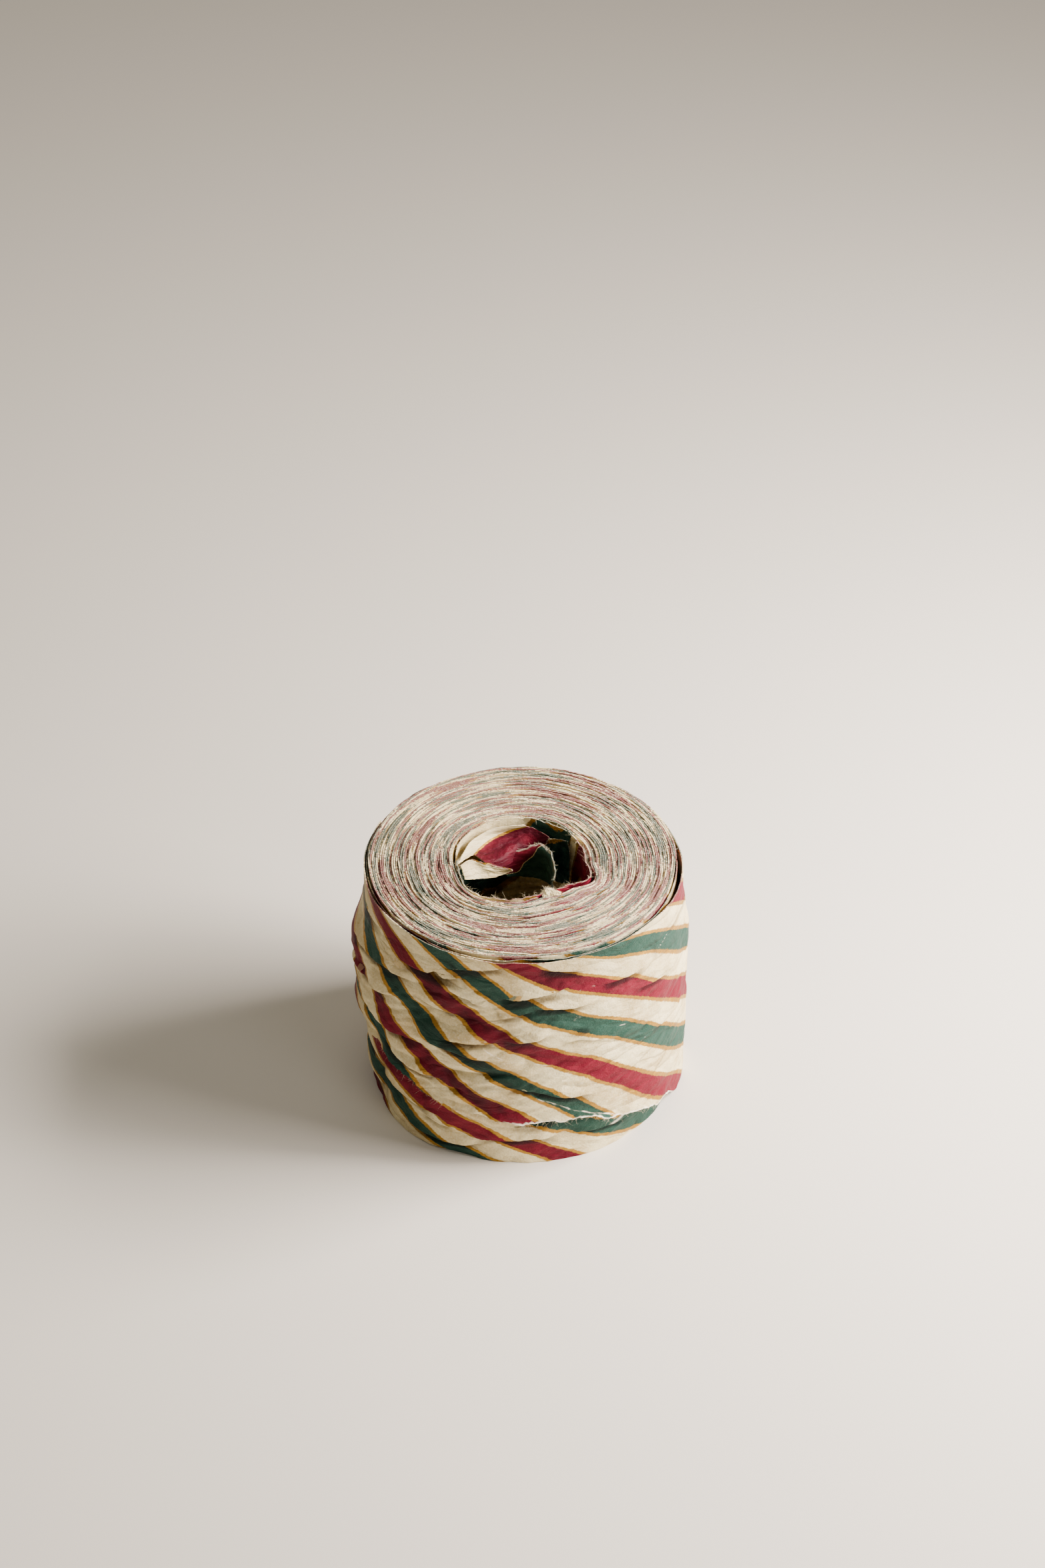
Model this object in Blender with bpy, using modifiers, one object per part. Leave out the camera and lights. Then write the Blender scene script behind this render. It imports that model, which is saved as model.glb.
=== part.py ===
"""A coreless roll of striped handmade-paper ribbon, wound from eight pasted lengths of strip.

Metres, +Z up. The origin is on the roll's axis, at the height of the surface that it stands on.
Angles are in degrees, seen from above: 0 is the front (-Y), and they grow towards the right (+X).
The strip's outer end is on the left. From there it runs over the front to the right, round the
back and inwards, so its angle grows on the way to the hollow middle.
"""

import math

import bmesh
import bpy

MM = 0.001

# The strip.
STRIP_WIDTH = 50 * MM  # also the height of the roll
LENGTH_COUNT = 8  # lengths of strip, pasted end to end
CUT_LENGTH = 750 * MM  # one length, as cut from its sheet
TURN_PITCH = 0.345 * MM  # the room that one wound turn takes
WRAP_THICKNESS = 0.4 * MM  # a single crumpled turn that stands free
GAP = 0.3 * MM  # between neighbouring solids

# The pack, which is the wound part.
HOLLOW_RADIUS = 13.2 * MM
LAST_LENGTH_IN_PACK = 460 * MM  # the rest of the last length is the outer turn and the tail
BUCKLE_REACH = 5 * MM  # how fast the hollow's dents fade from turn to turn
SPLICE_STEP = 137  # each splice lies this far round from the one inside it
PACK_SIDES = 72

# The hollow's outline: how far its wall lies from HOLLOW_RADIUS at some angles.
HOLLOW_DENTS = (
    (-180, -0.4 * MM),
    (-121, 0.2 * MM),
    (-80, -0.3 * MM),
    (-42, 0.8 * MM),
    (-14, -0.1 * MM),
    (22, -1.9 * MM),
    (46, -0.9 * MM),
    (65, 1.2 * MM),
    (88, -0.8 * MM),
    (121, -0.9 * MM),
    (150, -0.6 * MM),
    (180, -0.4 * MM),
)

# The outer turn and the tail, by angle along the strip.
TAIL_END = -115
TAIL_ROOT = 90  # where the tail leaves the fixed turn
COVERED_FROM = 360 + TAIL_END  # here the turn passes under the tail's end
TURN_END = 360 + TAIL_ROOT  # here it goes into the pack
TAIL_SEGMENTS = 4
SEGMENT_SIDES = 10
# How far the loose paper stands off from where it would lie if it were tight.
STAND_OFF = (
    (TAIL_END, 0.0),
    (-100, 0.6 * MM),
    (-85, 1.25 * MM),
    (-60, 0.7 * MM),
    (-35, 0.15 * MM),
    (0, 0.0),
    (35, 0.1 * MM),
    (60, 0.6 * MM),
    (TAIL_ROOT, 1.3 * MM),
    (120, 1.2 * MM),
    (150, 0.7 * MM),
    (180, 0.45 * MM),
    (COVERED_FROM, 0.0),
    (TURN_END, 0.0),
)
# The torn lower edge of the tail, as shares of the strip's width.
TORN_EDGE = (
    (TAIL_END, 0.44),
    (-57, 0.35),
    (-25, 0.27),
    (0, 0.22),
    (20, 0.22),
    (37, 0.15),
    (60, 0.08),
    (76, 0.0),
    (TAIL_ROOT, 0.0),
)

# The innermost turn starts here and runs once round the hollow, less a slit.
INNER_TURN_START = -86
INNER_TURN_SPAN = 348
INNER_TURN_SIDES = 48

# The strip's crumpled inner end, which leans into the hollow: shares of the hollow's radius, and
# depths below the top of the roll, from its upper edge to its lower one.
LEAF_FROM, LEAF_TO = -96, -176
LEAF_ROWS = ((0.84, 1.0 * MM), (0.66, 7.0 * MM), (0.64, 15.0 * MM))
LIP_FROM, LIP_TO = -178, -236
LIP_ROWS = ((0.60, 4.5 * MM), (0.63, 9.0 * MM), (0.64, 19.0 * MM))
LEAF_SIDES = 8

PAPER_ROUGHNESS = 0.85
EDGE_COLOUR = (0.62, 0.50, 0.42, 1)
PRINT_COLOUR = (0.80, 0.69, 0.50, 1)
INNER_COLOUR = (0.40, 0.06, 0.10, 1)


def clear_scene():
    for obj in list(bpy.data.objects):
        bpy.data.objects.remove(obj)


def new_collection(name):
    collection = bpy.data.collections.new(name)
    bpy.context.scene.collection.children.link(collection)
    return collection


def paper(name, colour):
    material = bpy.data.materials.new(name)
    material.use_nodes = True
    shader = material.node_tree.nodes["Principled BSDF"]
    shader.inputs["Base Color"].default_value = colour
    shader.inputs["Roughness"].default_value = PAPER_ROUGHNESS
    return material


def eased(knots, angle):
    """The value at an angle, easing from each knot to the next."""
    for (low, first), (high, second) in zip(knots, knots[1:]):
        if angle <= high:
            share = max(0.0, (angle - low) / (high - low))
            return first + (second - first) * share * share * (3 - 2 * share)
    return knots[-1][1]


def place(angle, radius):
    """The point of the plan at an angle and a distance from the axis."""
    turn = math.radians(angle)
    return radius * math.sin(turn), -radius * math.cos(turn)


def wrapped(angle):
    """The same direction, from -180 to 180."""
    return (angle + 180) % 360 - 180


def pack_radii():
    """The nominal radius of the hollow and of each length's outer face."""
    radii = [HOLLOW_RADIUS]
    for number in range(1, LENGTH_COUNT + 1):
        wound = CUT_LENGTH if number < LENGTH_COUNT else LAST_LENGTH_IN_PACK
        radii.append(math.sqrt(radii[-1] ** 2 + wound * TURN_PITCH / math.pi))
    return radii


PACK_RADII = pack_radii()
PACK_RADIUS = PACK_RADII[-1]
UNDER_RADIUS = PACK_RADIUS + TURN_PITCH / 2 + GAP + WRAP_THICKNESS / 2
TIGHT_TAIL_RADIUS = UNDER_RADIUS + WRAP_THICKNESS + GAP


def seam_radius(number, angle):
    """The middle of the gap between length `number` and the next one out.

    It climbs one turn's pitch on the way round, and drops back at the splice."""
    nominal = PACK_RADII[number]
    fade = math.exp(-(nominal - HOLLOW_RADIUS) / BUCKLE_REACH)
    dent = eased(HOLLOW_DENTS, wrapped(angle)) * fade
    climb = ((angle - number * SPLICE_STEP) % 360) / 360 - 0.5
    return nominal + dent + TURN_PITCH * climb


def wrap_radius(angle):
    """The middle of the paper of the tail, and of the outer turn behind and under it."""
    stand_off = eased(STAND_OFF, angle)
    if angle <= TAIL_ROOT:
        return TIGHT_TAIL_RADIUS + stand_off
    inwards = eased(((TAIL_ROOT, 1.0), (COVERED_FROM, 0.0), (TURN_END, 0.0)), angle)
    return UNDER_RADIUS + (TIGHT_TAIL_RADIUS - UNDER_RADIUS) * inwards + stand_off


def hollow_radius(angle):
    return seam_radius(0, angle)


def angles(start, end, sides):
    return [start + (end - start) * step / sides for step in range(sides + 1)]


def wound_length(number, collection):
    """One length of the strip, with its turns pressed together into a ring with a spiral face."""
    outline = bpy.data.curves.new(f"strip_length_{number}", "CURVE")
    outline.dimensions = "2D"
    outline.fill_mode = "BOTH"
    outline.extrude = STRIP_WIDTH / 2
    for seam, inset in ((number, -GAP / 2), (number - 1, GAP / 2)):
        spline = outline.splines.new("POLY")
        spline.points.add(PACK_SIDES - 1)
        spline.use_cyclic_u = True
        for step, point in enumerate(spline.points):
            angle = 360 * step / PACK_SIDES
            point.co = (*place(angle, seam_radius(seam, angle) + inset), 0, 1)
    ring = bpy.data.objects.new(outline.name, outline)
    ring.location.z = STRIP_WIDTH / 2
    ring.data.materials.append(paper(ring.name, EDGE_COLOUR))
    collection.objects.link(ring)


def sheet(name, rows, columns, spot, origin, collection, colour):
    """A sheet of paper as an open grid with a Solidify. spot(column, row) gives each point."""
    mesh = bpy.data.meshes.new(name)
    grid = bmesh.new()
    bmesh.ops.create_grid(grid, x_segments=columns, y_segments=rows, size=0.5)
    for vert in grid.verts:
        column = round((vert.co.x + 0.5) * columns)
        row = round((vert.co.y + 0.5) * rows)
        vert.co = [a - b for a, b in zip(spot(column, row), origin)]
    grid.to_mesh(mesh)
    grid.free()
    obj = bpy.data.objects.new(name, mesh)
    obj.location = origin
    mesh.materials.append(paper(name, colour))
    collection.objects.link(obj)
    thick = obj.modifiers.new("paper", "SOLIDIFY")
    thick.thickness = WRAP_THICKNESS
    thick.offset = 0


def outer_turn(collection):
    """The last full turn: outermost at the back, and under the tail at the front."""
    span = angles(TAIL_ROOT + edge_angle(GAP), TURN_END - edge_angle(GAP), PACK_SIDES)

    def spot(column, row):
        return *place(span[column], wrap_radius(span[column])), row * STRIP_WIDTH

    sheet("outer_turn", 1, PACK_SIDES, spot, (0, 0, 0), collection, PRINT_COLOUR)


def edge_angle(length):
    """The angle that a short length of the tail takes up."""
    return math.degrees(length / TIGHT_TAIL_RADIUS)


def tail_hinges():
    """The angles of the tail's bends, from its root to its free end."""
    return angles(TAIL_ROOT, TAIL_END, TAIL_SEGMENTS)


def tail_segment(number, collection):
    """One stretch of the tail, from its bend towards the strip's free end."""
    bends = tail_hinges()
    start = bends[number - 1] - edge_angle(GAP / 2)
    end = bends[number] + edge_angle(GAP / 2)
    span = angles(start, end, SEGMENT_SIDES)
    hinge = (*place(bends[number - 1], wrap_radius(bends[number - 1])), 0)

    def spot(column, row):
        angle = span[column]
        low = eased(TORN_EDGE, angle)
        height = STRIP_WIDTH * (low + (1 - low) * row)
        return *place(angle, wrap_radius(angle)), height

    name = f"tail_segment_{number}"
    sheet(name, 1, SEGMENT_SIDES, spot, hinge, collection, PRINT_COLOUR)


def innermost_turn(collection):
    """The first turn, which lines the hollow. It hangs a little clear of the next."""
    span = angles(INNER_TURN_START, INNER_TURN_START + INNER_TURN_SPAN, INNER_TURN_SIDES)
    inset = GAP + WRAP_THICKNESS

    def spot(column, row):
        radius = hollow_radius(span[column]) - inset
        return *place(span[column], radius), row * STRIP_WIDTH

    name = "innermost_turn"
    sheet(name, 1, INNER_TURN_SIDES, spot, (0, 0, 0), collection, INNER_COLOUR)


def inner_hinge():
    """Where the inner end leaves the wall of the hollow."""
    share = LEAF_ROWS[0][0]
    return (*place(LEAF_FROM, HOLLOW_RADIUS * share), 0)


def inner_sheet(name, start, end, rows, collection):
    """A stretch of the crumpled inner end, leaning from its upper edge into the hollow."""
    span = angles(start, end, LEAF_SIDES)

    def spot(column, row):
        share, depth = rows[len(rows) - 1 - row]
        flat = place(span[column], HOLLOW_RADIUS * share)
        return *flat, STRIP_WIDTH - depth

    bands = len(rows) - 1
    sheet(name, bands, LEAF_SIDES, spot, inner_hinge(), collection, INNER_COLOUR)


def build():
    clear_scene()
    roll = new_collection("wrapping_paper_roll")
    for number in range(1, LENGTH_COUNT + 1):
        wound_length(number, roll)
    outer_turn(roll)
    for number in range(1, TAIL_SEGMENTS + 1):
        tail_segment(number, roll)
    innermost_turn(roll)
    inner_sheet("inner_end_leaf", LEAF_FROM, LEAF_TO, LEAF_ROWS, roll)
    inner_sheet("inner_end_lip", LIP_FROM, LIP_TO, LIP_ROWS, roll)


build()
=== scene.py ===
"""The looks of a coreless roll of striped handmade wrapping paper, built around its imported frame.

Angles are in degrees round the roll's axis: 0 is the front (-Y), and they grow towards the right
(+X). The strip's outer end is the tail, over the front. From there the angle grows along the
strip, past the back, under the tail and on into the wound pack, down to the hollow middle.
Lengths inside the shape functions are in millimetres, and a finished mesh is in metres.
"""

import math
import random

import bmesh
import bpy
import numpy as np
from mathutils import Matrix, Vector


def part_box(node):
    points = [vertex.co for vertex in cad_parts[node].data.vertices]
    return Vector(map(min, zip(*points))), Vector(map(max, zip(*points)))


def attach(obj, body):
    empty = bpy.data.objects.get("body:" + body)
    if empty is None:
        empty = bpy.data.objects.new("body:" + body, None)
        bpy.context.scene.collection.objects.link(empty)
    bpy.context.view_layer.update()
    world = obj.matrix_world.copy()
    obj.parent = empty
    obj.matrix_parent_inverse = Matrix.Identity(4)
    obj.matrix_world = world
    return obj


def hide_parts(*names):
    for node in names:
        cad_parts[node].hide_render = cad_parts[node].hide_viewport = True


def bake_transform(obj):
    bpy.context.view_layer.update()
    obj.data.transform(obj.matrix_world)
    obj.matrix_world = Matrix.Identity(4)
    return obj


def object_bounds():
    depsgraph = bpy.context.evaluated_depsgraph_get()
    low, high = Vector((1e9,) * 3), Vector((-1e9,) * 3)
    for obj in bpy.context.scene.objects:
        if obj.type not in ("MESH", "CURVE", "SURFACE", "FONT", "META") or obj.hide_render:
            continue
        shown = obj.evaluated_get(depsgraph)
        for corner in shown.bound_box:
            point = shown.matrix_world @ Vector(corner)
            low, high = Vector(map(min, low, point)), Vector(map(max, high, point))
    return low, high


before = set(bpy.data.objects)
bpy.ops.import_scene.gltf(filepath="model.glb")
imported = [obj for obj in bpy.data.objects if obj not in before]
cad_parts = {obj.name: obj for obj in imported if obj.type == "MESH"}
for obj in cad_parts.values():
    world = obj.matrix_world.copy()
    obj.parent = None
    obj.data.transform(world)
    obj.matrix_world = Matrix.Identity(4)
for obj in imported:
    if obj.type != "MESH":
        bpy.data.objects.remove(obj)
cad_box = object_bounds()

bl_info = {
    "name": "Striped Paper Roll",
    "version": (1, 0, 0),
    "blender": (4, 5, 0),
    "location": "3D View > Sidebar > Paper Roll",
    "description": "Builds a wound roll of crumpled, striped handmade paper strip",
    "category": "Add Mesh",
}

MM = 0.001
CAD_WRAP = 0.4  # the thickness of a loose turn in the frame
CAD_TOP = cad_box[1].z / MM


def frame_radius(node):
    """The mid radius of a loose node at the front, in millimetres."""
    return -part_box(node)[0].y / MM - CAD_WRAP / 2


# The strip's windings, as the frame has them.
UNDER_RADIUS = frame_radius("outer_turn")
TAIL_RADIUS = frame_radius("tail_segment_2")
HOLLOW_RADIUS = 13.2
TURN_PITCH = 0.345
LENGTH_COUNT = 8
CUT_LENGTH = 750.0
LAST_LENGTH_IN_PACK = 460.0
WOUND_LENGTH = (LENGTH_COUNT - 1) * CUT_LENGTH + LAST_LENGTH_IN_PACK
PACK_RADIUS = math.sqrt(HOLLOW_RADIUS**2 + WOUND_LENGTH * TURN_PITCH / math.pi)
BUCKLE_REACH = 5.0  # how far the hollow's dents go out into the pack
PACK_SWELL = 0.4  # how much wider the pack's loose rim is
RIM_DROP = 0.55  # how far the loose paper's top lies below the pack's
TAIL_END, TAIL_ROOT = -115.0, 90.0
BEND_COUNT = 4
TAIL_BENDS = [TAIL_ROOT + (TAIL_END - TAIL_ROOT) * k / BEND_COUNT for k in range(BEND_COUNT)]
FULL_TURN = 360.0
ARC = 0.52  # millimetres of loose paper in one degree
TEXTURE_UNIT = 10.0  # millimetres of paper in one unit of the "paper" UV map
DEEPEST_DIP = -0.28  # as far as the loose paper can sink towards the turn beneath it
LOWEST_EDGE = 0.03  # a lower edge's height over the floor
PACK_ENTRY = TAIL_ROOT + FULL_TURN

# How far the hollow's wall stands out of its circle, by angle.
HOLLOW_DENTS = (
    (-180, -0.4), (-121, 0.2), (-80, -0.3), (-42, 0.8), (-14, -0.1), (22, -1.9),
    (46, -0.9), (65, 1.2), (88, -0.8), (121, -0.9), (150, -0.6), (180, -0.4),
)
# How far the loose paper stands off the turn beneath it, by angle.
STAND_OFF = (
    (-115, 0), (-100, 0.6), (-85, 1.25), (-60, 0.7), (-35, 0.15), (0, 0), (35, 0.1),
    (60, 0.6), (90, 1.3), (120, 1.2), (150, 0.7), (180, 0.45), (245, 0), (450, 0),
)
# The tail's torn lower edge: an angle, and its height as a share of the strip's width.
TORN_EDGE = (
    (-115, 0.44), (-57, 0.35), (-25, 0.27), (0, 0.22), (20, 0.22), (37, 0.15),
    (60, 0.08), (76, 0), (90, 0), (116, 0),
)

# The stripes' course along the loose paper: an angle, and the print's phase at the bottom, the
# middle and the top of the strip. A red band is centred on each even phase, a green on each odd.
STRIPE_COURSE = (
    (-115, -7, -4.3, -1.5), (-90, -6.2, -3.5, -0.7), (-60, -5.2, -2.5, 0.3),
    (-30, -4.2, -1.5, 1.1), (0, -3.2, -0.5, 2.15), (30, -1.5, 0.4, 3),
    (60, -0.57, 1.45, 3.65), (90, 0.4, 2.43, 4.6), (180, 3.25, 5.3, 7.4),
    (240, 5.1, 7.25, 9.6), (300, 6.2, 9.2, 12), (330, 6.8, 9.65, 12.3),
    (360, 7.45, 10.35, 12.8), (390, 8.4, 10.8, 13.1), (420, 8.93, 11.1, 13.2),
    (450, 9.8, 12, 14),
)
PHASE_PER_MM = 0.75 / 12.3  # how fast the phase grows along the wound strip
PHASE_PER_HEIGHT = 1 / 12.3

# Pleats: from and to angle, from and to height, paper hidden in the fold, and how far it lifts.
TAIL_PLEATS = (
    (-52, -18, 42.4, 44.2, 1.3, 0.65), (-30, -3, 45.9, 48.8, 0.9, 0.5),
    (-10, 19, 41.4, 43.3, 1.3, 0.6), (2, 27, 38.6, 38.1, 0.7, 0.4),
    (-10, 5, 36.4, 38.3, 0.35, 0.2), (-7, 10, 30.8, 32.5, 0.5, 0.35),
    (-30, -7, 30.2, 31.1, 0.6, 0.35), (-44, -8, 29.6, 26.2, 0.9, 0.5),
    (-9, 29, 20.7, 15.4, 0.7, 0.3), (5, 23, 48.2, 46.2, 0.7, 0.35),
    (28, 50, 41.6, 40.4, 0.6, 0.3), (42, 72, 36.4, 35, 0.4, 0.2),
    (-92, -58, 44.5, 45.5, 1.3, 0.8), (-84, -40, 37, 39.2, 0.8, 0.6),
    (-95, -46, 31.6, 33, 1.5, 0.9), (-88, -36, 24.6, 25.4, 1.2, 0.7),
    (-60, -28, 20.6, 18.6, 0.9, 0.5), (-113, -90, 41.2, 39, 0.7, 0.5),
    (-112, -84, 28, 30.5, 0.9, 0.6), (-40, -22, 36.4, 35.2, 0.4, 0.25),
    (-28, -12, 40.6, 38.9, 0.35, 0.2), (50, 78, 24, 22.5, 0.35, 0.15),
    (12, 34, 30.2, 28.4, 0.25, 0.15), (60, 92, 44.6, 43, 0.4, 0.2),
)
TURN_PLEATS = (
    (338, 378, 6, 7.4, 1.2, 0.6), (312, 348, 2.7, 3.6, 0.9, 0.5),
    (296, 330, 9.6, 9, 1, 0.6), (268, 306, 12.4, 12, 1.2, 0.7),
    (262, 300, 5.4, 5, 1.1, 0.6), (352, 374, 9.6, 10.4, 0.5, 0.3),
    (376, 404, 6.6, 5.2, 0.35, 0.2), (318, 336, 6.6, 7.4, 0.5, 0.3),
    (248, 276, 17, 16, 0.9, 0.5), (240, 262, 9, 8.6, 0.8, 0.5),
)


# ---- shape helpers


def smooth(x):
    x = np.clip(x, 0.0, 1.0)
    return x * x * (3 - 2 * x)


def eased(knots, x):
    """The value at x, easing from each knot to the next."""
    xs, ys = np.array(knots, float).T
    k = np.clip(np.searchsorted(xs, x) - 1, 0, len(xs) - 2)
    return ys[k] + (ys[k + 1] - ys[k]) * smooth((x - xs[k]) / (xs[k + 1] - xs[k]))


def curve_between(low, high, low_slope, high_slope, s):
    """A smooth curve from low to high with these slopes, where s goes from 0 to 1."""
    return (
        low * (1 + 2 * s) * (1 - s) ** 2
        + low_slope * s * (1 - s) ** 2
        + high * s * s * (3 - 2 * s)
        + high_slope * s * s * (s - 1)
    )


def flowing(knots, column, x):
    """One column of the knots at x, on a smooth curve through them."""
    table = np.array(knots, float)
    xs, ys = table[:, 0], table[:, column]
    slopes = np.gradient(ys, xs)
    k = np.clip(np.searchsorted(xs, x) - 1, 0, len(xs) - 2)
    span = xs[k + 1] - xs[k]
    s = (x - xs[k]) / span
    return curve_between(ys[k], ys[k + 1], slopes[k] * span, slopes[k + 1] * span, s)


def curve_weights(count, x):
    """How much each of a curve's evenly spaced points counts at x, from 0 to 1."""
    place = np.clip(x, 0, 1) * (count - 1)
    k = np.clip(place.astype(int), 0, count - 2)
    points = np.eye(count)
    slopes = np.gradient(points, axis=0)
    return curve_between(points[k], points[k + 1], slopes[k], slopes[k + 1], (place - k)[:, None])


def lattice(i, j, seed):
    """A fixed random number from -1 to 1 for each whole-number point."""
    h = (i * 374761393 + j * 668265263 + seed * 974634777) & 0x7FFFFFFF
    h = ((h ^ (h >> 13)) * 1274126177) & 0x7FFFFFFF
    h = ((h ^ (h >> 16)) * 1911520717) & 0x7FFFFFFF
    return h / 0x3FFFFFFF - 1


def bumps(x, y, seed):
    """Smooth random hills and hollows of size 1, from -1 to 1."""
    i, j = np.floor(x).astype(np.int64), np.floor(y).astype(np.int64)
    u, v = x - i, y - j
    u, v = smooth(u), smooth(v)
    low = lattice(i, j, seed) * (1 - u) + lattice(i + 1, j, seed) * u
    high = lattice(i, j + 1, seed) * (1 - u) + lattice(i + 1, j + 1, seed) * u
    return low * (1 - v) + high * v


def ripples(x, seed):
    return bumps(x, x * 0, seed)


def creases(x, y, seed):
    """Random sharp ridges, from 0 on the flats to 1 on the ridge."""
    return 1 - np.abs(bumps(x, y, seed))


def hill(x, centre, width):
    return np.exp(-(((x - centre) / width) ** 2))


def on_roll(angle, radius, height):
    """Points in metres, from angles in degrees and millimetres."""
    turn = np.radians(angle)
    return np.stack([radius * np.sin(turn), -radius * np.cos(turn), height], -1) * MM


# ---- the loose paper


def wrap_radius(angle):
    """The paper's mid radius before it is crumpled, in the tail and in the outer turn."""
    stand_off = eased(STAND_OFF, angle)
    inwards = eased(((TAIL_ROOT, 1.0), (FULL_TURN + TAIL_END, 0.0), (PACK_ENTRY, 0.0)), angle)
    inwards = np.where(angle <= TAIL_ROOT, 1.0, inwards)
    return UNDER_RADIUS + (TAIL_RADIUS - UNDER_RADIUS) * inwards + stand_off


def folded_angle(angle):
    return (angle + 180) % FULL_TURN - 180


DRAWN_FROM, DRAWN_OVER, DRAWN_SHARE = 33, 14, 0.9  # heights, and how much slack it takes up
ROOT_STANDING, ROOT_MIDDLE, ROOT_WIDTH = 0.35, 72, 20  # where the tail's root stays off
RIM_SLACK, TIGHTER_BEHIND = 0.6, 0.28


def drawn_in(angle, paper, radius):
    """The radius once the top is drawn in to the roll's rim, all round but at the tail's root."""
    standing = ROOT_STANDING * hill(folded_angle(angle), ROOT_MIDDLE, ROOT_WIDTH)
    standing = np.where(angle > 180, 0, standing)
    tight = PACK_RADIUS + PACK_SWELL + RIM_SLACK - TIGHTER_BEHIND * smooth((angle - 92) / 20)
    excess = np.clip(radius - tight, 0, None)
    drawn = DRAWN_SHARE * smooth((paper - DRAWN_FROM) / DRAWN_OVER)
    return radius - excess * (1 - standing) * drawn


def stripe_phase(angle, height):
    """The print's phase on the loose paper."""
    low, middle, high = (flowing(STRIPE_COURSE, k, angle) for k in (1, 2, 3))
    s = height / CAD_TOP
    phase = low * (2 * s * s - 3 * s + 1) + middle * 4 * s * (1 - s) + high * s * (2 * s - 1)
    arc = angle * ARC
    return phase + 0.025 * bumps(arc / 9, height / 7, 11) + 0.012 * bumps(arc / 3, height / 3, 12)


BACK_PLEATS, BACK_START, BACK_WIDTH = 26, 96, 150
GOLDEN_SHARE = 0.381966  # spreads the pleats evenly over the strip's height


def back_pleats():
    """Pleats for the side that the tail leaves open, laid out at random."""
    draw = random.Random(7)
    pleats = []
    for k in range(BACK_PLEATS):
        start = BACK_START + draw.random() * BACK_WIDTH
        height = 3 + 44 * ((k * GOLDEN_SHARE) % 1)
        span = 14 + 26 * draw.random()
        rise = draw.uniform(-2.2, 2.2)
        depth = 0.3 + 0.6 * draw.random()
        pleats.append((start, start + span, height, height + rise, depth, depth * 0.5))
    return tuple(pleats)


PLEATS_BEHIND = back_pleats()
PLEAT_SHARPNESS, PLEAT_TAPER = 0.3, 0.3
TUCK_REACH, SWELL_REACH, DIP_REACH = 2.2, 2.6, 1.3  # how far from its fold a pleat is felt


def fold(angle, paper, pleats):
    """Pleats the paper: its height, its lift, and how deep each point lies under a fold."""
    height, lift, depth = paper.copy(), np.zeros_like(paper), np.zeros_like(paper)
    for start, end, from_z, to_z, hidden, raised in pleats:
        along = (angle - start) / (end - start)
        near = smooth(along / PLEAT_TAPER) * smooth((1 - along) / PLEAT_TAPER)
        line = from_z + (to_z - from_z) * along + 0.35 * bumps(angle / 7, angle * 0 + from_z, 5)
        off = paper - line
        turn = np.tanh(off / PLEAT_SHARPNESS)
        height = height - hidden * near * turn * np.exp(-np.abs(off) / TUCK_REACH)
        above = (0.5 + 0.5 * turn) * np.exp(-np.clip(off, 0, None) / SWELL_REACH)
        below = (0.5 - 0.5 * turn) * np.exp(np.clip(off, None, 0) / DIP_REACH)
        lift = lift + near * raised * (1.9 * above - 0.6 * below)
        # How far under each fold's edge a point lies; the colour darkens there as painted shade.
        under = smooth((off + 1.5 * hidden + 1.1) / 1.0) * (1 - smooth(off / 0.3))
        depth = np.maximum(depth, near * under * min(1.0, 0.35 + hidden))
    return height, lift, depth


def crumple(angle, paper):
    """How far the crumpled paper stands off its mid radius: coarse on the left, fine on the right."""
    arc = angle * ARC
    folded = folded_angle(angle)
    rough = 0.42 + 0.58 * smooth((20 - folded) / 50) * smooth((folded + 175) / 40)
    coarse = 0.75 - creases(arc / 15 + paper / 40, paper / 5.2 - arc / 40, 21) ** 2
    middle = 0.7 - creases(arc / 7 + paper / 9, paper / 2.6, 22) ** 2
    slant = creases((arc * 0.9 + paper * 0.45) / 9, (paper * 0.9 - arc * 0.45) / 1.5, 23) - 0.6
    fine = bumps(arc / 1.3, paper / 0.9, 24)
    return rough * (1.3 * coarse + 0.5 * middle) + 0.22 * slant + 0.035 * fine


BULGES = ((38, 3.2, 1.0), (27, 2.8, 0.9), (46.5, 2, 0.5))  # height, half height and share
BULGE_LIFT, BULGE_MIDDLE, BULGE_WIDTH = 0.55, -82, 24


def bulge(angle, paper):
    """The rolls of loose paper that stand out on the left."""
    swell = sum(share * hill(paper, height, half) for height, half, share in BULGES)
    return BULGE_LIFT * swell * hill(angle, BULGE_MIDDLE, BULGE_WIDTH)


def torn_height(angle):
    """The height of the tail's torn lower edge."""
    arc = angle * ARC
    ragged = 0.35 * ripples(arc / 2.6, 31) + 0.22 * ripples(arc / 0.8, 32)
    ragged = ragged + 0.12 * ripples(arc / 0.35, 33)
    share = eased(TORN_EDGE, angle)
    return CAD_TOP * share + ragged * smooth(share / 0.06)


def torn_share(angle):
    """1 where the tail's lower edge is torn, and 0 where it is the strip's own cut edge."""
    return eased(TORN_EDGE, angle) / 0.05


def worn(angle, paper, lines):
    """Wear along lines of the paper: each has angles, heights, a width and a strength."""
    total = np.zeros_like(angle)
    for start, end, from_z, to_z, width, strength in lines:
        along = (angle - start) / (end - start)
        near = smooth(along / 0.15) * smooth((1 - along) / 0.15)
        line = from_z + (to_z - from_z) * along + 0.5 * bumps(angle / 6, angle * 0 + from_z, 41)
        patchy = 0.65 + 0.5 * bumps(angle / 1.6, paper / 1.5, 42)
        total = np.maximum(total, near * strength * patchy * hill(paper, line, width))
    return np.clip(total, 0, 1)


def fold_shade_and_grime(crumpled, depth):
    """Painted shade on the paper: most of all under a fold, and a little in each dip, where it also
    stands for grime.
    """
    return 0.68 * depth + 0.34 * smooth((0.1 - crumpled) / 0.8) * (1 - depth)


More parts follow.
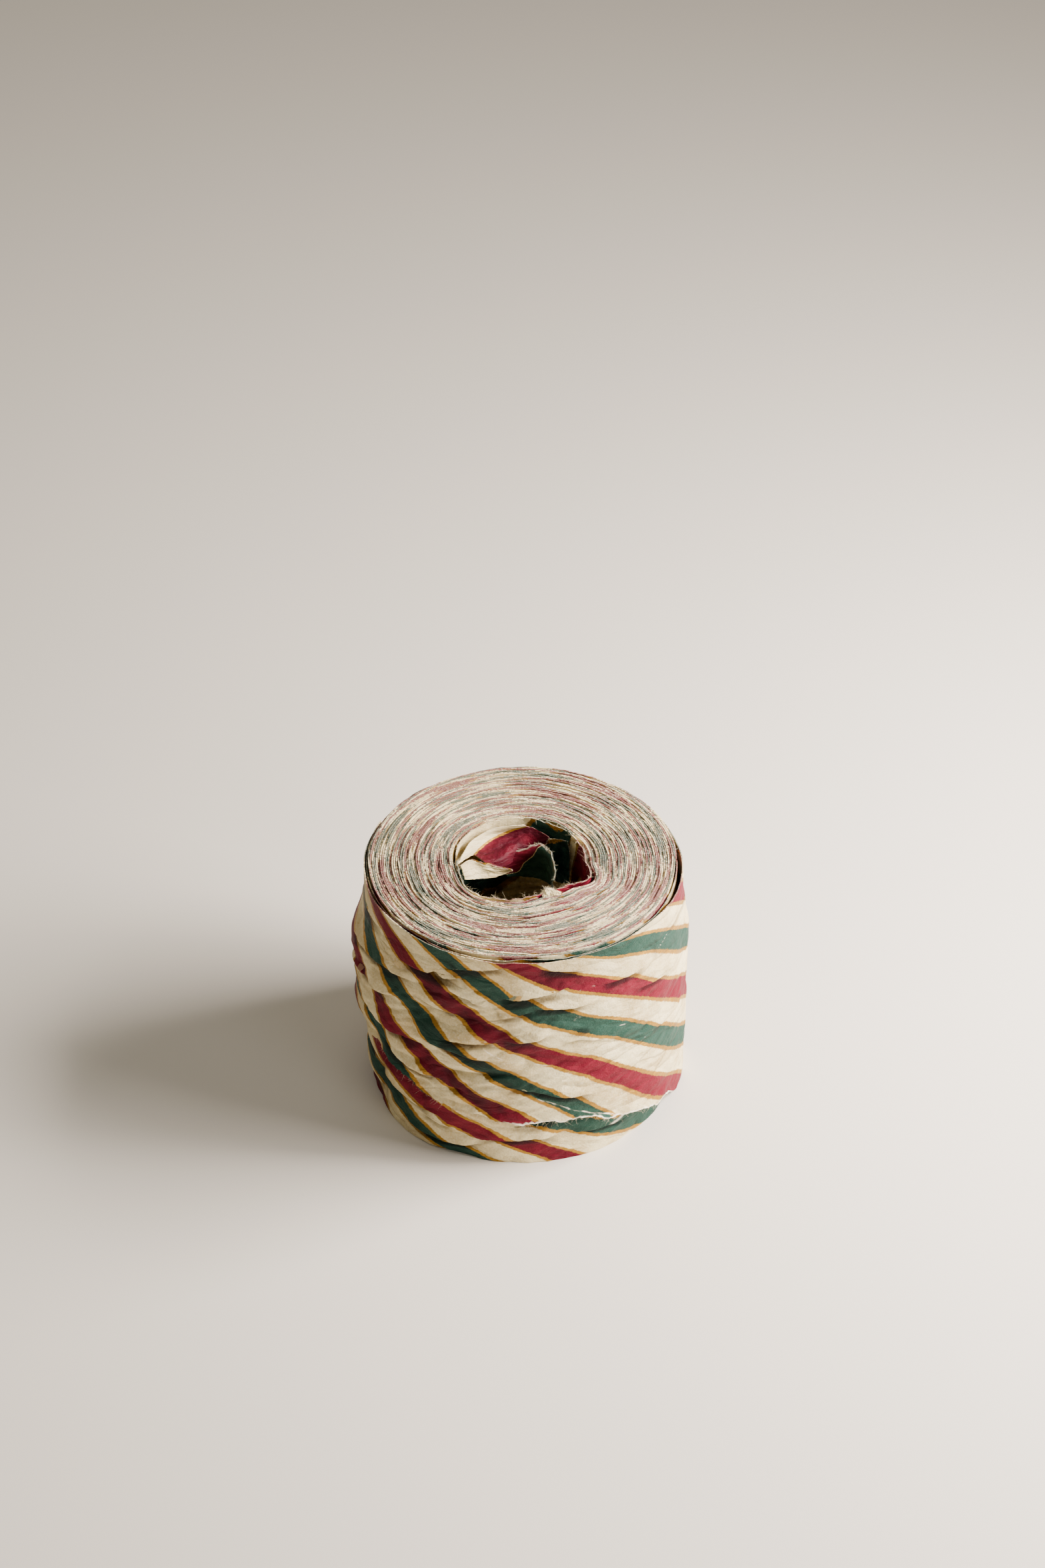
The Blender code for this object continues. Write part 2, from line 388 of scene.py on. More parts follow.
TAIL_WEAR = (
    (-2, 37, 19.6, 7.6, 0.17, 1), (-14, -4, 29.6, 25.6, 0.18, 1),
    (-12, 12, 27.4, 24.6, 0.18, 0.8), (-30, -16, 16.4, 13.9, 0.5, 0.6),
    (4, 30, 41.3, 41.9, 0.3, 0.3), (-26, -8, 31.6, 31.4, 0.3, 0.5), (8, 30, 33.6, 36.4, 0.9, 0.34),
    (34, 66, 30.5, 26.6, 0.12, 0.7), (40, 70, 39.2, 44.6, 0.1, 0.6), (30, 58, 20.4, 25, 0.1, 0.55),
    (0, 22, 23.6, 21.8, 0.8, 0.3), (48, 76, 15.2, 11, 0.1, 0.5),
)
TURN_WEAR = ((382, 404, 5.4, 6.4, 0.3, 0.9), (374, 392, 7, 9.2, 0.2, 0.5))
# Grey-brown marks, and broad painted shade over the front: angle, height, half width in degrees, half
# height and strength.
STAINS_AND_SHADE = (
    (21, 31.8, 3, 0.9, 0.8), (-14, 19, 16, 8, 0.4), (-2, 33, 16, 6, 0.24), (26, 14, 14, 3.5, 0.14),
    (-34, 38, 16, 7, 0.22), (10, 46, 20, 3, 0.2), (-40, 12, 18, 8, 0.2), (-26, 27, 12, 5, 0.2),
)


def loose_sheet(angle, paper, radius, height, wear_and_shade):
    """What each shape gives: points, print phase, wear with painted shade, and the place along and
    across the strip.
    """
    points = on_roll(angle, radius, np.clip(height, LOWEST_EDGE, None))
    along, across = angle * ARC / TEXTURE_UNIT, paper / TEXTURE_UNIT
    return points, stripe_phase(angle, paper), wear_and_shade, along, across


def shape_tail(u, v, start, end):
    """The tail's paper between two angles."""
    angle = start + (end - start) * u
    if end == TAIL_END:
        ragged = 0.9 * ripples(v * 7, 55) + 0.5 * ripples(v * 26, 56)
        angle = angle + smooth((u - 0.75) / 0.25) * ragged
    low = torn_height(angle)
    wave = 0.25 * ripples(angle / 17, 51) + 0.08 * ripples(angle / 3, 52)
    paper = low + (CAD_TOP - low) * v
    height, lift, depth = fold(angle, paper, TAIL_PLEATS + PLEATS_BEHIND)
    crumpled = crumple(angle, paper)
    lift = lift + crumpled + bulge(angle, paper)
    height = height + (wave - RIM_DROP) * v**6
    from_edge = paper - low
    torn = smooth(torn_share(angle))
    lift = lift + torn * 0.45 * np.exp(-from_edge / 1.1)
    lift = np.clip(lift, DEEPEST_DIP, None)
    wear_and_shade = worn(angle, paper, TAIL_WEAR)
    bare = 0.28 + 0.22 * ripples(angle / 1.1, 53)
    ragged_white = np.exp(-((from_edge / bare) ** 2)) * (0.2 + 0.8 * smooth((angle + 14) / 18))
    wear_and_shade = np.clip(wear_and_shade + torn * ragged_white, 0, 1) - fold_shade_and_grime(crumpled, depth)
    # The marks darken the paper, and the broad ones over the front are painted shade.
    for place, level, half_width, half_height, strength in STAINS_AND_SHADE:
        stain_and_shade = hill(angle, place, half_width) * hill(paper, level, half_height)
        wear_and_shade = wear_and_shade - strength * stain_and_shade * (0.8 + 0.35 * bumps(angle / 2.5, paper / 1.3, 54))
    radius = drawn_in(angle, paper, wrap_radius(angle) + lift)
    return loose_sheet(angle, paper, radius, height, wear_and_shade)


UNDER_TAIL, TORN_END, ENTRY_START = 238, 436, 415  # angles along the outer turn
KNEE = 0.5  # the share of the rows that are in its lowest part


def shape_turn(u, v, start, end, rows_low):
    """The outer turn's paper between two angles, with most rows in its lowest part."""
    angle = start + (end - start) * u
    upper = rows_low + (v - KNEE) / (1 - KNEE) * (1 - rows_low)
    paper = CAD_TOP * np.where(v < KNEE, v / KNEE * rows_low, upper)
    height, lift, depth = fold(angle, paper, TURN_PLEATS + PLEATS_BEHIND)
    crumpled = crumple(angle, paper)
    lift = lift + crumpled
    covered = smooth((angle - UNDER_TAIL) / 12)
    edge = np.where(angle < TORN_END, torn_height(angle - FULL_TURN), 0.0)
    shown = 1 - smooth((paper - edge + 2.0) / 2.5)
    room = np.where(covered > 0.5, 0.1 + 0.9 * shown, 5.0)
    lift = np.clip(lift, DEEPEST_DIP, room)
    wave = 0.25 * ripples(angle / 15, 61) + 0.1 * ripples(angle / 3, 62)
    height = height + (wave - RIM_DROP) * v**6
    wear_and_shade = worn(angle, paper, TURN_WEAR) - fold_shade_and_grime(crumpled, depth)
    # Painted shadow of the tail: the turn darkens just under the tail's torn edge and where the tail
    # covers it.
    wear_and_shade = wear_and_shade - 0.5 * covered * smooth((paper - edge + 0.9) / 1.2)
    entering = smooth((angle - ENTRY_START) / (PACK_ENTRY - ENTRY_START))
    radius = drawn_in(angle, paper, wrap_radius(angle) + lift)
    radius = radius + (PACK_RADIUS + PACK_SWELL + 0.05 - radius) * entering
    return loose_sheet(angle, paper, radius, height, wear_and_shade)


# ---- the wound pack


WOUND_ROWS = (0.0, 0.012, 0.05, 0.5, 0.95, 0.985, 1.0)  # shares of the strip's width


def wound_radius(run):
    """The radius of the wound strip, this far from its inner end."""
    return np.sqrt(HOLLOW_RADIUS**2 + run * TURN_PITCH / math.pi)


def wound_angle(radius):
    return PACK_ENTRY + FULL_TURN * (PACK_RADIUS - radius) / TURN_PITCH


SWOLLEN_FROM = 19  # the radius where the pack starts to loosen


def dented(angle, radius):
    """The pack's buckles: they echo the hollow's outline, and fade outwards. Its rim is loose."""
    folded = folded_angle(angle)
    fade = np.exp(-np.clip(radius - HOLLOW_RADIUS, 0, None) / BUCKLE_REACH)
    arc = folded / 57.3 * 20  # millimetres at the pack's middle
    loose = 0.14 * bumps(arc / 9, radius / 2.2, 71) + 0.07 * bumps(arc / 4, radius / 1.1, 72)
    seam = smooth(np.abs(np.abs(folded) - 180) / 8)
    swollen = PACK_SWELL * smooth((radius - SWOLLEN_FROM) / (PACK_RADIUS - SWOLLEN_FROM))
    return radius + eased(HOLLOW_DENTS, folded) * fade + loose * seam + swollen


DUST, DUSTY_FROM, DUSTY_OVER = 0.38, 0.965, 0.035  # bare fibres on the top cut edge


def shape_wound(u, v, start, end):
    """A stretch of the wound strip between two runs from its inner end."""
    run = start + (end - start) * u
    radius = wound_radius(run)
    angle = wound_angle(radius)
    top = 0.15 * ripples(run / 14, 81) + 0.09 * ripples(run / 3.1, 82)
    top = top + 0.09 * ripples(run / 0.8, 83) - 0.12
    foot = 0.12 + 0.12 * ripples(run / 9, 84)
    shares = np.interp(v, np.linspace(0, 1, len(WOUND_ROWS)), WOUND_ROWS)
    height = foot + (CAD_TOP + top - foot) * shares
    own = 0.03 * bumps(run / 5, v * 3, 85) + 0.025 * bumps(run / 1.4, v * 6, 86)
    points = on_roll(angle, dented(angle, radius) + own, height)
    phase = 12 + (WOUND_LENGTH - run) * PHASE_PER_MM + (height - CAD_TOP / 2) * PHASE_PER_HEIGHT
    phase = phase + 0.12 * ripples(run / 24, 87) + 0.1 * ripples(run / 5, 89)
    dusty = DUST * smooth((shares - DUSTY_FROM) / DUSTY_OVER) * (0.8 + 0.3 * ripples(run / 2.1, 88))
    return points, phase, dusty, run / TEXTURE_UNIT, height / TEXTURE_UNIT


LINING_START, LINING_TURN = -86, 348
LINING_GAP = 0.62  # how far the lining stands in from the wound pack
LINING_UNITS = 0.02  # texture units in one degree of the lining
# The print's phase along the top of the hollow's lining: an angle, then the phase there.
LINING_COURSE = (
    (-86, 13.1), (-40, 13.5), (20, 13.9), (60, 14), (95, 14.1), (121, 14.4),
    (135, 15.1), (165, 15.2), (185, 15.45), (262, 15.5),
)


def shape_innermost(u, v):
    """The turn that lines the hollow."""
    angle = LINING_START + LINING_TURN * u
    folded = folded_angle(angle)
    wall = HOLLOW_RADIUS + eased(HOLLOW_DENTS, folded) - LINING_GAP
    paper = CAD_TOP * v
    lean = 0.5 * bumps(angle / 24, paper / 14, 91) + 0.2 * bumps(angle / 9, paper / 5, 92)
    lean = np.clip(lean, -0.5, 0.12) * smooth((CAD_TOP - paper) / 4 + 0.3)
    top = 0.35 * ripples(angle / 19, 93) + 0.18 * ripples(angle / 4, 94)
    height = paper + top * v**6
    points = on_roll(angle, wall + lean, np.clip(height, 0.05, None))
    depth = CAD_TOP - paper
    phase = flowing(LINING_COURSE, 1, angle) - depth * PHASE_PER_HEIGHT * 0.6
    phase = phase + 0.05 * bumps(angle / 12, paper / 5, 95)
    # Painted shade: the lining darkens deeper in the hollow.
    wear_and_shade = -0.75 * smooth((depth - 5) / 12)
    return points, phase, wear_and_shade, angle * LINING_UNITS, paper / TEXTURE_UNIT


# The crumpled inner end's sheets: rows of points across each sheet, from its first edge to its
# far one. A point has x, y, its depth below the roll's top, and the print's phase there.
LEAF_NET = (
    ((-12, -0.3, 1, -0.55), (-11.3, 1.9, 0.7, -0.55), (-9.6, 5.9, 0.5, -0.55),
     (-5.7, 9.6, 0.4, -0.55), (0.2, 10.7, 0.3, -0.5)),
    ((-9.5, 3.8, 2.2, -0.3), (-8.2, 6.3, 2.6, -0.25), (-5.5, 9.2, 2.4, -0.22),
     (-2.7, 10.2, 1.8, -0.2), (0.9, 10.7, 0.7, -0.18)),
    ((-8.5, 3.9, 2.6, -0.1), (-6, 6, 3, -0.05), (-3, 8.2, 2.9, 0),
     (0.3, 10, 2.5, 0), (2.3, 10.6, 1.1, 0)),
    ((-7.5, 2.8, 2.7, 0.12), (-4.5, 3.8, 3.3, 0.1), (-1.5, 6.9, 3.6, 0.08),
     (1.5, 9.1, 3.6, 0.1), (4.9, 9, 1.9, 0.16)),
    ((-6.5, 2.4, 3.2, 0.22), (-3.5, 4, 5, 0.17), (-0.5, 7.7, 5.7, 0.1),
     (2.4, 9.2, 4.8, 0.15), (5.3, 8.9, 3.2, 0.2)),
)
LEAF_FOLD_NET = (
    ((-11.6, -0.7, 1, 0.45), (-9.7, 1.5, 1.4, 0.28), (-7, 1.4, 2.2, 0.22),
     (-4.7, 1.5, 3, 0.24), (-1.9, 1.5, 3.8, 0.24)),
    ((-11.2, -1.2, 1.9, 0.5), (-9.2, 1, 2.4, 0.42), (-6.5, 1, 3.1, 0.4),
     (-4.2, 1.5, 3.8, 0.4), (-1.9, 1.9, 4.2, 0.35)),
    ((-10.8, -1.7, 3.6, 0.55), (-8.2, -0.3, 4.5, 0.55), (-5.6, 0.6, 5, 0.5),
     (-3.5, 1.7, 5, 0.45), (-1.9, 2.3, 4.6, 0.4)),
)
LIP_NET = (
    ((-3.9, 6.2, 4.2, 0), (-1.5, 7.2, 3.4, 0), (1.3, 7.4, 2.2, 0.1), (3.6, 7.2, 1.7, 0.3),
     (5.1, 5.8, 1.7, 0.5), (6, 2.8, 2.2, 0.6), (6.3, -0.2, 2.7, 0.6), (5.9, -2.2, 3.2, 0.7)),
    ((-3.7, 5.6, 5.4, 0.02), (-1.4, 6.4, 4.8, 0.05), (1.2, 6.6, 3.9, 0.12),
     (3.2, 6.3, 3.4, 0.75), (4.5, 5.2, 3.3, 0.8), (5.3, 2.6, 3.6, 0.75), (5.6, -0.2, 3.9, 0.75),
     (5.4, -2.1, 4.2, 0.75)),
    ((-3.3, 5.4, 7, 0.1), (-1.2, 6.2, 7, 0.2), (1, 6.5, 6.5, 0.8), (2.9, 6.2, 6.2, 0.95),
     (4.1, 5.3, 6, 1), (5, 2.7, 5.5, 1), (5.5, 0, 5.4, 1), (5.5, -2, 5.4, 1)),
    ((-2.8, 5.4, 8.6, 0.8), (-0.9, 6.1, 9, 0.9), (1.1, 6.4, 9.4, 1), (2.9, 6.2, 9.6, 1),
     (4, 5.6, 9.6, 1.05), (5.1, 3.2, 8.6, 1.1), (5.8, 0.6, 7.2, 1.2), (5.9, -1.6, 6.6, 1.2)),
)
WALL_FOLD_NET = (
    ((4.9, 8.9, 2.2, 0.7), (6.7, 8, 1.6, 0.76), (8.5, 6.5, 1, 0.82)),
    ((5.2, 8, 4.6, 0.95), (7, 7.2, 4.2, 0.95), (8.9, 5.9, 3.8, 0.9)),
    ((5.5, 7, 7.4, 1), (7.2, 6.3, 7, 1), (8.9, 5.4, 6.6, 1)),
    ((6.2, 5.2, 9.6, 1.05), (7.6, 4.4, 9.4, 1.1), (8.8, 4.1, 9, 1.1)),
)
TUFT_NET = (
    ((3.2, -9.3, 1.2, 0.5), (4.2, -8.4, 0.5, 0.5), (5.4, -8.4, 0.5, 0.5), (6.9, -8.9, 0.9, 0.4)),
    ((3.4, -9.9, 0.5, 0.5), (4.4, -9.4, 0, 0.5), (5.7, -9.4, 0, 0.5), (7.1, -9.6, 0.3, 0.3)),
    ((3.9, -11.2, 0.5, 0.5), (4.9, -10.9, 0.2, 0.5), (6.2, -10.7, 0.1, 0.4), (7.5, -10.7, 0.3, 0.2)),
)


def shape_net(net, torn_edge, u, v, seed):
    """A sheet through a net of points. Its torn edge, at v = 0 or 1, is ragged and bare."""
    table = np.array(net, float)
    rows, columns = table.shape[:2]
    if torn_edge is not None:
        off = np.abs(v - torn_edge)
        ragged = 0.06 * ripples(u * 9, seed) + 0.05 * ripples(u * 27, seed + 1)
        v = v + (0.5 - torn_edge) * 2 * (ragged + 0.05) * (1 - off) ** 3
    down = curve_weights(rows, v)
    across = curve_weights(columns, u)
    x, y, depth, phase = np.einsum("nr,nc,rck->kn", down, across, table)
    crumpled = creases(u * 4, v * 3, seed + 2) - 0.6
    bend = 0.35 * crumpled + 0.12 * bumps(u * 11, v * 9, seed + 3)
    bend = bend * (0.5 if net is TUFT_NET else 1.0)
    x = x + 0.3 * bend
    y = y + 0.55 * bend
    depth = depth + 0.45 * bend + 0.08 * bumps(u * 23, v * 19, seed + 4)
    wear_and_shade = np.zeros_like(u)
    if torn_edge is not None:
        wear_and_shade = np.exp(-((off / (0.14 + 0.07 * ripples(u * 15, seed + 5))) ** 2))
    if net is LIP_NET:  # its red and its green meet in a fold
        phase = np.where(phase < 0.5, np.minimum(phase, 0.17), np.maximum(phase, 0.83))
        # Painted shade darkens the lip all over, and its bare edge is paler.
        wear_and_shade = wear_and_shade * 0.75 - 0.22
    elif net is not TUFT_NET:
        # Painted shade darkens the other sheets all over, more or less with their crumple.
        wear_and_shade = wear_and_shade - 0.24 - 0.2 * crumpled
    points = np.stack([x, y, CAD_TOP - depth], -1) * MM
    return points, phase + 0.02 * bumps(u * 6, v * 5, seed + 6), wear_and_shade, u * 1.4, v * 0.8


# ---- meshes


SHARP_EDGE = 70  # degrees between two faces


def in_scene(name, data):
    obj = bpy.data.objects.new(name, data)
    bpy.context.scene.collection.objects.link(obj)
    return obj


def grid_mesh(name, columns, rows, half_side):
    mesh = bpy.data.meshes.new(name)
    grid = bmesh.new()
    bmesh.ops.create_grid(grid, x_segments=columns, y_segments=rows, size=half_side)
    grid.to_mesh(mesh)
    grid.free()
    return mesh


def finished_mesh(obj):
    graph = bpy.context.evaluated_depsgraph_get()
    return bpy.data.meshes.new_from_object(obj.evaluated_get(graph))


def rows_of(items, attribute):
    """An attribute of every item, as one row of three numbers each."""
    flat = np.empty(len(items) * 3)
    items.foreach_get(attribute, flat)
    return flat.reshape(-1, 3)


def outward_faces(mesh):
    """Turns the sheet's faces so that the printed side looks away from the axis."""
    centre, normal = rows_of(mesh.polygons, "center"), rows_of(mesh.polygons, "normal")
    if (centre[:, :2] * normal[:, :2]).sum() < 0:
        mesh.flip_normals()


def paper_mesh(name, columns, rows, shape, hollow=False, wound=False):
    """A sheet of paper: a grid bent by shape(u, v), with its print's phase, and its wear and painted
    shade, in a UV map.
    """
    mesh = grid_mesh(name, columns, rows, 0.5)
    flat = rows_of(mesh.vertices, "co") + 0.5
    points, phase, wear_and_shade, along, across = shape(flat[:, 0], flat[:, 1])
    mesh.vertices.foreach_set("co", points.ravel())
    corner = np.empty(len(mesh.loops), np.int32)
    mesh.loops.foreach_get("vertex_index", corner)
    for layer, first, second in (("print", phase, wear_and_shade), ("paper", along, across)):
        uv = mesh.uv_layers.new(name=layer)
        uv.data.foreach_set("uv", np.stack([first[corner], second[corner]], -1).ravel())
    mesh.update()
    mesh.shade_smooth()
    outward_faces(mesh)
    for material in paper_materials(hollow):
        mesh.materials.append(material)
    obj = in_scene(name, mesh)
    body = obj.modifiers.new("paper thickness", "SOLIDIFY")
    sizes = bpy.context.scene.paper_roll_sizes
    body.thickness = sizes.wound_paper if wound else sizes.paper
    body.offset = 0
    body.material_offset = 1
    body.material_offset_rim = 2
    obj.data = finished_mesh(obj)
    obj.modifiers.clear()
    obj.data.name = name
    obj.data.set_sharp_from_angle(angle=math.radians(SHARP_EDGE))
    return obj


HAIR_RADIUS = 0.012
HAIR_TAPER = (1.0, 0.85, 0.6, 0.25)
HAIR_SWAY, HAIR_STRAY, HAIR_CURL = 1.2, 0.7, 0.6


def unit(vectors, spare=1e-9):
    return vectors / (np.linalg.norm(vectors, axis=1, keepdims=True) + spare)


def fibre_mesh(name, shape, spread, edge, reach, seeds):
    """Fine tapered hairs along a sheet's edge v = edge: spread is from and to u, and how many."""
    places = np.random.default_rng(seeds[0]).uniform(*spread)
    draw = np.random.default_rng(seeds[1])
    count = len(places)
    inside = np.full(count, edge + (0.01 if edge == 0 else -0.01))
    root = shape(places, np.full(count, float(edge)))[0]
    within = shape(places, inside)[0]
    beside = shape(np.clip(places + 0.002, 0, 1), np.full(count, float(edge)))[0]
    out, side = unit(root - within), unit(beside - root)
    wander = draw.normal(size=(count, 3)) * HAIR_STRAY
    heading = unit(out + side * draw.normal(size=(count, 1)) * HAIR_SWAY + wander, 0)
    length = reach * MM * draw.uniform(0.35, 1.0, (count, 1)) ** 1.5
    curl = draw.normal(size=(count, 3)) * HAIR_CURL
    curve = bpy.data.curves.new(name, "CURVE")
    curve.dimensions = "3D"
    curve.bevel_depth = HAIR_RADIUS * MM
    curve.bevel_resolution = 0
    curve.use_fill_caps = True
    start = root - out * 0.1 * MM
    for k in range(count):
        hair = curve.splines.new("POLY")
        hair.points.add(len(HAIR_TAPER) - 1)
        for step, thin in enumerate(HAIR_TAPER):
            share = step / (len(HAIR_TAPER) - 1)
            along = heading[k] * share + curl[k] * share * share * 0.5
            point = start[k] + along * length[k]
            point[2] = max(point[2], LOWEST_EDGE * MM)
            hair.points[step].co = (*point, 1)
            hair.points[step].radius = thin
    drawn = in_scene(name, curve)
    mesh = finished_mesh(drawn)
    bpy.data.objects.remove(drawn)
    bpy.data.curves.remove(curve)
    mesh.materials.clear()
    mesh.materials.append(FINISHES["fibre"])
    return in_scene(name, mesh)


# ---- finishes


PAPER_GLOSS, FLOOR_GLOSS, FIBRE_GLOSS = 0.12, 0.2, 0.5


class Wire:
    """A shader socket, so that maths on it reads as an expression."""

    def __init__(self, finish, socket):
        self.finish, self.socket = finish, socket

    def maths(self, operation, *others):
        sockets = dict(enumerate((self, *others)))
        return self.finish.node("ShaderNodeMath", sockets, operation=operation)

    def __add__(self, other):
        return self.maths("ADD", other)

    __radd__ = __add__

    def __sub__(self, other):
        return self.maths("SUBTRACT", other)

    def __rsub__(self, other):
        return (self * -1) + other

    def __mul__(self, other):
        return self.maths("MULTIPLY", other)

    __rmul__ = __mul__

    def clamped(self):
        made = self.maths("ADD", 0.0)
        made.socket.node.use_clamp = True
        return made


class Finish:
    """A material under construction."""

    def __init__(self, name):
        self.colours = bpy.context.scene.paper_roll_colours
        self.material = bpy.data.materials.new(name)
        self.material.use_nodes = True
        self.tree = self.material.node_tree
        self.tree.nodes.clear()

    def node(self, kind, sockets=None, output=0, **settings):
        """Makes any node: its settings first, then its sockets' values or links."""
        made = self.tree.nodes.new(kind)
        for name, value in settings.items():
            setattr(made, name, value)
        for key, value in (sockets or {}).items():
            if isinstance(value, Wire):
                self.tree.links.new(value.socket, made.inputs[key])
            else:
                made.inputs[key].default_value = value
        return Wire(self, made.outputs[output]) if made.outputs else None

    def mix(self, share, first, second, how="MIX"):
        """Two colours mixed: first where share is 0, second where it is 1."""
        sockets = {0: share, 6: solid(first), 7: solid(second)}
        return self.node("ShaderNodeMix", sockets, 2, data_type="RGBA", blend_type=how)

    def uv(self, name):
        return self.node("ShaderNodeUVMap", uv_map=name)

    def part_of(self, vector, axis):
        return self.node("ShaderNodeSeparateXYZ", {0: vector}, axis)

    def flecks(self, scale, detail=2.0, rough=0.5):
        """Noise from 0 to 1 in the object's own space."""
        place = self.node("ShaderNodeTexCoord", output=3)
        sockets = {"Vector": place, "Scale": scale, "Detail": detail, "Roughness": rough}
        return self.node("ShaderNodeTexNoise", sockets)

    def grain(self, vector, scale, detail=2.0, rough=0.5, distortion=0.0):
        """Noise from 0 to 1 over the flat sheet. A scale can be one for each direction."""
        if isinstance(scale, tuple):
            squeezed = {"Vector": vector, "Scale": (*scale, 1)}
            vector, scale = self.node("ShaderNodeMapping", squeezed), 1.0
        sockets = {
            "Vector": vector, "Scale": scale, "Detail": detail, "Roughness": rough,
            "Distortion": distortion,
        }
        return self.node("ShaderNodeTexNoise", sockets, 0, noise_dimensions="2D")

    def surface(self, colour, roughness, normal=None, metallic=0.0, gloss=PAPER_GLOSS):
        """Ends the material with its shader."""
        sockets = {
            "Base Color": colour, "Roughness": roughness, "Metallic": metallic,
            "Specular IOR Level": gloss,
        }
        if normal:
            sockets["Normal"] = normal
        shader = self.node("ShaderNodeBsdfPrincipled", sockets)
        self.node("ShaderNodeOutputMaterial", {"Surface": shader})
        return self.material


def solid(colour):
    return colour if isinstance(colour, Wire) else (*colour[:3], 1.0)


def stripe_masks(finish, phase, paper, bleed, broken):
    """(coloured band, gold outline, green rather than red), each from 0 to 1."""
    sizes = bpy.context.scene.paper_roll_sizes
    ragged = finish.grain(paper, (14, 14), 3.0, 0.65) - 0.5
    wave = (phase + ragged * broken).maths("PINGPONG", 1.0)
    near = wave.maths("MINIMUM", 1 - wave)
    half = sizes.half_period
    band = (sizes.band_width / 2 + bleed * MM) / half
    outline = band + (sizes.outline_width - bleed * MM / 2) / half
    inside = ((band - near) * 60).clamped()
    outlined = ((outline - near) * 45).clamped()
    return inside, outlined, wave.maths("GREATER_THAN", 0.5)


def printed_colour(finish, phase, paper, bleed=0.0, broken=0.055, ink_stain_and_shade=0.0):
    """The print on its paper, and how much of it is gold and how much is colour."""
    colours = finish.colours
    inside, outlined, green = stripe_masks(finish, phase, paper, bleed, broken)
    cloudy = finish.grain(paper, 1.1, 4.0, 0.6)
    speckle = finish.grain(paper, 26.0, 3.0, 0.7)
    ground = finish.mix(((cloudy - 0.38) * 2.4).clamped(), colours.cream, colours.cream_dark)
    ground = finish.mix(((speckle - 0.54) * 4.0).clamped() * 0.6, ground, colours.fibre)
    ground = finish.mix(((0.47 - speckle) * 5.0).clamped() * 0.45, ground, colours.cream_dark)
    ink = finish.mix(green, colours.crimson, colours.green)
    rubbed = ((finish.grain(paper, 34.0, 4.0, 0.75) - 0.5) * 4.0).clamped() * 0.7
    ink = finish.mix(rubbed, ink, finish.mix(green, colours.crimson_light, colours.green_light))
    streak = finish.grain(paper, (3, 5), 3.0, 0.6)
    # Deep ink, for thick ink and for painted shade.
    deep = finish.mix(green, colours.crimson_dark, colours.green_dark)
    ink = finish.mix(((streak - 0.45) * 0.9 + ink_stain_and_shade).clamped(), ink, deep)
    gold = finish.mix(finish.grain(paper, 18.0, 3.0, 0.7), colours.gold_dark, colours.gold)
    body = finish.mix(outlined, ground, gold)
    return finish.mix(inside, body, ink), outlined * (1 - inside), inside


def from_crease(finish, paper, turned, stretch):
    """How far each point of the paper is from the nearest of its sharp creases."""
    bent = finish.node("ShaderNodeTexNoise", {"Vector": paper, "Scale": 1.2, "Detail": 3.0}, 1)
    bent = finish.node("ShaderNodeVectorMath", {0: bent, 1: (0.5, 0.5, 0.5)}, operation="SUBTRACT")
    bent = finish.node("ShaderNodeVectorMath", {0: bent, "Scale": 0.45}, operation="SCALE")
    moved = finish.node("ShaderNodeVectorMath", {0: paper, 1: bent}, operation="ADD")
    aslant = {"Vector": moved, "Rotation": (0, 0, math.radians(turned)), "Scale": (*stretch, 1)}
    cells = {"Vector": finish.node("ShaderNodeMapping", aslant), "Scale": 1.0}
    return finish.node(
        "ShaderNodeTexVoronoi", cells, 0, voronoi_dimensions="2D", feature="DISTANCE_TO_EDGE"
    )


LONG_CREASES = (-33, (0.55, 2.4))  # their turn in degrees, and cells for each texture unit
SHORT_CREASES = (-14, (1.1, 3.2))
RELIEF_DEPTH = 0.00022  # metres


def paper_relief(finish, paper, strength):
    """The paper's fibres and small wrinkles, as a normal."""
    fibres = finish.grain(paper, (9, 16), 4.0, 0.7, 0.6)
    pulp = finish.grain(paper, 30.0, 3.0, 0.6)
    wrinkle = finish.grain(paper, (1.6, 4.2), 3.0, 0.55, 0.8) - 0.5
    wrinkle = wrinkle.maths("ABSOLUTE")
    facets = (from_crease(finish, paper, *LONG_CREASES) * 5).maths("MINIMUM", 1.0)
    dents = (from_crease(finish, paper, *SHORT_CREASES) * 4).maths("MINIMUM", 1.0)
    height = fibres * 0.5 + pulp * 0.4 + wrinkle * -1.8 + facets * 1.3 + dents * 0.8
    sockets = {"Height": height, "Strength": strength, "Distance": RELIEF_DEPTH}
    return finish.node("ShaderNodeBump", sockets)


